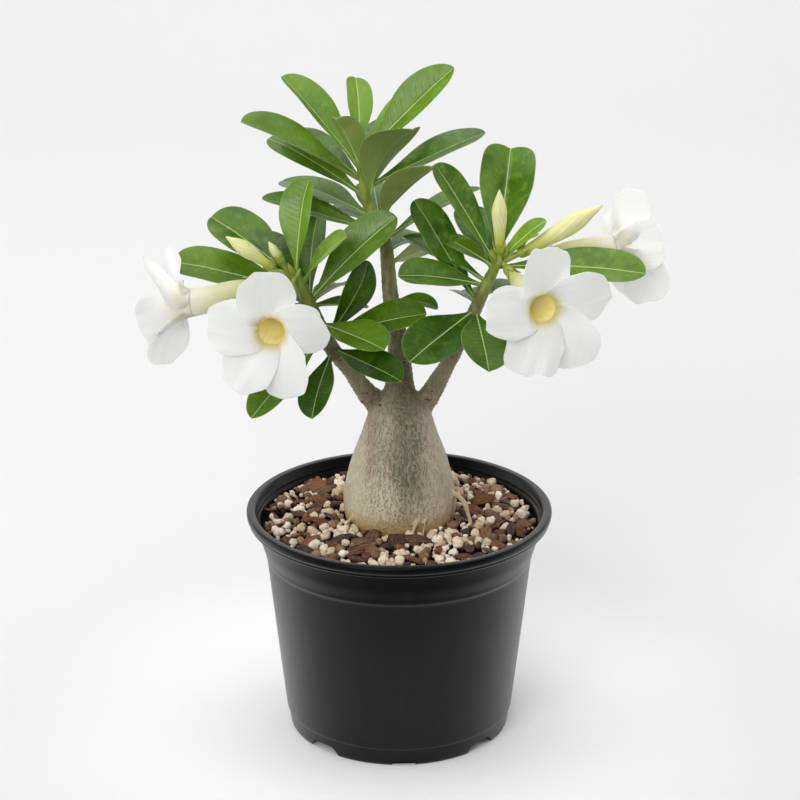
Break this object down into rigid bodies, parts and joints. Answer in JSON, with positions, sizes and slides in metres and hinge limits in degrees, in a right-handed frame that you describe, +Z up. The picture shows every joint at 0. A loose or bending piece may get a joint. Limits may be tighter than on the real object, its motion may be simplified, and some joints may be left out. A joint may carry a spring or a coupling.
{
  "type": "potted desert rose",
  "caption": "Desert rose (adenium) with a swollen grey trunk, forked branches of glossy leaves and white trumpet flowers, in a round dark nursery pot.",
  "frame": {"origin": "middle of the pot's underside, on the surface that the pot stands on", "axes": "+Z up along the pot and the plant; -Y is the front that the picture shows; +X to its right"},
  "size_m": [0.2728, 0.1648, 0.3623],
  "materials": {
    "pot": "satin charcoal plastic, thermoformed",
    "bark": "grey-beige living bark with fine upright wrinkles",
    "mix": "rough pumice, grit and bark chips",
    "foliage": "thick leaf with a waxy gloss",
    "petals": "soft matte petal",
    "buds": "soft matte petal, rolled up"
  },
  "bodies": {
    "root": {"pot": "pot", "trunk": "bark", "potting_mix": "mix", "leafy_shoot_left": "foliage", "leafy_shoot_centre": "foliage", "leafy_shoot_right": "foliage", "bloom_left_front": "petals", "bloom_left_side": "petals", "bloom_right_front": "petals", "bloom_right_back": "petals", "bud_right_upright": "buds", "bud_right_long": "buds", "bud_left_long": "buds", "bud_left_small": "buds"}
  },
  "joints": []
}
